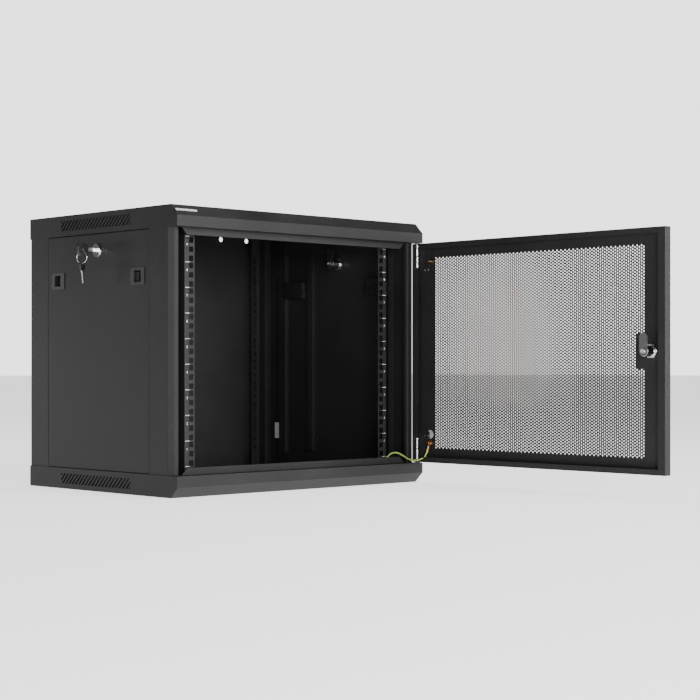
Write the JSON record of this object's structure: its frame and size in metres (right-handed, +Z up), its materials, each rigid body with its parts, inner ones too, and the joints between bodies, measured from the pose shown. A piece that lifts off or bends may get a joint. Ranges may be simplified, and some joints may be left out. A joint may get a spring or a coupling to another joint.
{
  "type": "network server rack cabinet",
  "caption": "Black sheet-steel wall cabinet for 19 inch network equipment, with a perforated hinged door, lift-off side panels, cam locks and equipment rails.",
  "frame": {"origin": "middle of the base's underside, halfway across and halfway between the front and back faces of the cabinet without its door", "axes": "+X to the cabinet's right seen from the front, +Y to its back, +Z up; the door stands open at a right angle at rest"},
  "size_m": [0.6425, 1.029, 0.501],
  "materials": {
    "black_coat": "fine-textured black powder coat",
    "black_screw": "blackened steel",
    "zinc_steel": "zinc plated",
    "lock_chrome": "bright chrome plate",
    "copper_stud": "copper plated",
    "black_plastic": "moulded",
    "badge_silver": "satin",
    "earth_insulation": "soft insulation with a green stripe",
    "white_print": "printed and plain labels"
  },
  "bodies": {
    "cabinet": {"top_frame": "black_coat", "bottom_frame": "black_coat", "front_left_post": "black_coat", "front_right_post": "black_coat", "rear_left_post": "black_coat", "rear_right_post": "black_coat", "back_panel": "black_coat", "back_panel_rivets": "black_screw", "badge_plate": "badge_silver", "front_left_rail": "black_coat", "front_right_rail": "black_coat", "rear_left_rail": "black_coat", "rear_right_rail": "black_coat", "rail_screws": "black_screw", "frame_screws": "black_screw", "top_cable_cover": "black_coat", "bottom_cable_cover": "black_coat", "cable_cover_screws": "black_screw", "hinge_bushes": "black_plastic", "cabinet_earth_stud": "copper_stud", "cabinet_earth_nuts": "zinc_steel", "cabinet_earth_lug": "copper_stud", "left_panel": "black_coat", "right_panel": "black_coat", "left_panel_stiffener": "black_coat", "right_panel_stiffener": "black_coat", "left_lock_strike": "black_coat", "right_lock_strike": "black_coat", "left_latch_housings": "black_plastic", "right_latch_housings": "black_plastic", "left_lock_barrel": "lock_chrome", "right_lock_barrel": "lock_chrome", "panel_lock_nuts": "zinc_steel", "earth_wire": "earth_insulation"},
    "door": {"door_frame": "black_coat", "door_mesh": "black_coat", "door_lock_barrel": "lock_chrome", "door_lock_nut": "zinc_steel", "hinge_brackets": "black_coat", "hinge_pins": "zinc_steel", "hinge_rivets": "zinc_steel", "door_studs": "copper_stud", "door_earth_nuts": "copper_stud", "door_earth_lug": "copper_stud"},
    "door_cam": {"door_lock_plug": "lock_chrome", "door_lock_cam": "zinc_steel", "door_cam_screw": "zinc_steel"},
    "left_cam": {"left_lock_plug": "lock_chrome", "left_lock_cam": "zinc_steel", "left_cam_screw": "zinc_steel"},
    "right_cam": {"right_lock_plug": "lock_chrome", "right_lock_cam": "zinc_steel", "right_cam_screw": "zinc_steel"},
    "key": {"lock_key": "black_plastic"},
    "ring": {"key_ring": "zinc_steel"},
    "spare": {"spare_key": "black_plastic"},
    "left_front_latch": {"left_front_latch": "black_screw"},
    "left_rear_latch": {"left_rear_latch": "black_screw"},
    "right_front_latch": {"right_front_latch": "black_screw"},
    "right_rear_latch": {"right_rear_latch": "black_screw"}
  },
  "joints": [
    {"name": "door_hinge", "type": "hinge", "parent": "cabinet", "child": "door", "pos_m": [0.292, -0.217, 0.2505], "axis": [0, 0, 1], "range_deg": [-90, 90], "deforming": ["earth_wire"]},
    {"name": "door_lock_turn", "type": "hinge", "parent": "door", "child": "door_cam", "pos_m": [0.3, -0.766, 0.2505], "axis": [1, 0, 0], "range_deg": [0, 90]},
    {"name": "left_lock_turn", "type": "hinge", "parent": "cabinet", "child": "left_cam", "pos_m": [-0.2985, 0.01, 0.4325], "axis": [-1, 0, 0], "range_deg": [0, 90]},
    {"name": "right_lock_turn", "type": "hinge", "parent": "cabinet", "child": "right_cam", "pos_m": [0.2985, 0.01, 0.4325], "axis": [1, 0, 0], "range_deg": [0, 90]},
    {"name": "key_slide", "type": "slide", "parent": "left_cam", "child": "key", "axis": [-1, 0, 0], "range_m": [0, 0.026]},
    {"name": "ring_swing", "type": "hinge", "parent": "key", "child": "ring", "pos_m": [-0.331, 0.01, 0.4287], "axis": [-0.4226, 0.9063, 0], "range_deg": [-12, 35]},
    {"name": "spare_key_swing", "type": "hinge", "parent": "ring", "child": "spare", "pos_m": [-0.331, 0.01, 0.4083], "axis": [-0.4226, 0.9063, 0], "range_deg": [-12, 35]},
    {"name": "left_front_latch_slide", "type": "slide", "parent": "cabinet", "child": "left_front_latch", "axis": [0, 1, 0], "range_m": [0, 0.008], "stiffness_N_per_m": 150, "springref_m": -0.006},
    {"name": "left_rear_latch_slide", "type": "slide", "parent": "cabinet", "child": "left_rear_latch", "axis": [0, -1, 0], "range_m": [0, 0.008], "stiffness_N_per_m": 150, "springref_m": -0.006},
    {"name": "right_front_latch_slide", "type": "slide", "parent": "cabinet", "child": "right_front_latch", "axis": [0, 1, 0], "range_m": [0, 0.008], "stiffness_N_per_m": 150, "springref_m": -0.006},
    {"name": "right_rear_latch_slide", "type": "slide", "parent": "cabinet", "child": "right_rear_latch", "axis": [0, -1, 0], "range_m": [0, 0.008], "stiffness_N_per_m": 150, "springref_m": -0.006}
  ]
}
